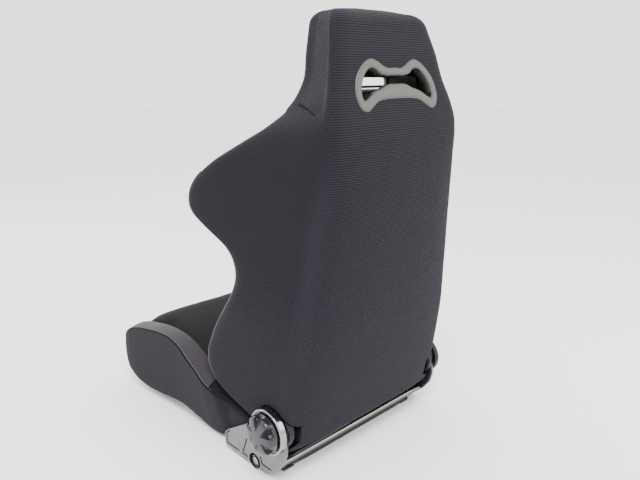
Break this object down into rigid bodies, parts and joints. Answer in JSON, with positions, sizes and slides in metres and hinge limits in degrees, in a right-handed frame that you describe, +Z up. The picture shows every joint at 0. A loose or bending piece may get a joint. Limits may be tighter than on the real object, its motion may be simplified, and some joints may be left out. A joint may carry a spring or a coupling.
{
  "type": "racing seat",
  "caption": "Reclining sports seat with shoulder wings, harness slot, sprung cushion and dial recliner.",
  "frame": {"origin": "centre of the four base mounting holes, at the underside of the side rails", "axes": "+Z up, -Y the way the occupant faces, +X the occupant's left"},
  "size_m": [0.5748, 0.7424, 0.945],
  "materials": {
    "charcoal_knit": "ribbed knit",
    "insert_knit": "fine knit",
    "strip_suede": "smooth brushed",
    "underside_cloth": "woven",
    "black_steel": "satin",
    "bright_steel": "polished",
    "zinc_fasteners": "zinc plated",
    "spring_steel": "oiled",
    "gear_steel": "machined",
    "bush_plastic": "moulded",
    "cover_grey": "satin gloss",
    "trim_chrome": "polished",
    "gloss_black": "gloss",
    "bezel_grey": "satin",
    "tunnel_black": "matt"
  },
  "bodies": {
    "base": {"bracket_bolts": "zinc_fasteners", "bracket_nuts": "zinc_fasteners", "bracket_spacers": "black_steel", "cushion_pad": "charcoal_knit", "front_cross_tube": "black_steel", "front_spring_beam": "black_steel", "left_cushion_bolster": "charcoal_knit", "left_disc_cover": "gloss_black", "left_lower_recliner_plate": "black_steel", "left_recliner_cover": "cover_grey", "left_recliner_ring": "gear_steel", "left_shaft_bush": "bush_plastic", "left_side_rail": "black_steel", "left_trim_ring": "trim_chrome", "mount_nuts": "zinc_fasteners", "rear_cross_bar": "bright_steel", "rear_hem": "underside_cloth", "rear_spring_beam": "black_steel", "right_cushion_bolster": "charcoal_knit", "right_disc_cover": "gloss_black", "right_lower_recliner_plate": "black_steel", "right_recliner_cover": "cover_grey", "right_recliner_ring": "gear_steel", "right_shaft_bush": "bush_plastic", "right_side_rail": "black_steel", "right_trim_ring": "trim_chrome", "seat_spring_clips": "spring_steel", "seat_springs": "spring_steel", "underside_cloth": "underside_cloth"},
    "backrest": {"back_shell": "charcoal_knit", "back_centre_pad": "charcoal_knit", "head_pad": "charcoal_knit", "back_hoop": "black_steel", "lower_cross_tube": "black_steel", "shoulder_cross_tube": "black_steel", "back_springs": "spring_steel", "back_spring_clips": "spring_steel", "arm_bolts": "zinc_fasteners", "rear_bezel": "bezel_grey", "harness_tunnel": "tunnel_black", "front_bezel": "bezel_grey", "slot_guard_bar": "black_steel", "left_wing_bolster": "charcoal_knit", "right_wing_bolster": "charcoal_knit", "left_wing_rod": "black_steel", "right_wing_rod": "black_steel", "left_recliner_arm": "black_steel", "right_recliner_arm": "black_steel", "left_recliner_gear": "gear_steel", "right_recliner_gear": "gear_steel"},
    "recliner_drive": {"recliner_knob": "gloss_black", "cross_shaft": "gear_steel", "shaft_clips": "zinc_fasteners", "left_drive_cam": "gear_steel", "right_drive_cam": "gear_steel"}
  },
  "joints": [
    {"name": "backrest_recline", "type": "hinge", "parent": "base", "child": "backrest", "pos_m": [0, 0.22, 0.12], "axis": [-1, 0, 0], "range_deg": [-5, 65]},
    {"name": "knob_turn", "type": "hinge", "parent": "base", "child": "recliner_drive", "pos_m": [0, 0.22, 0.12], "axis": [-1, 0, 0], "range_deg": [-2080, 160]}
  ],
  "couplings": [
    {"joint": "knob_turn", "follows": "backrest_recline", "ratio": -32}
  ]
}
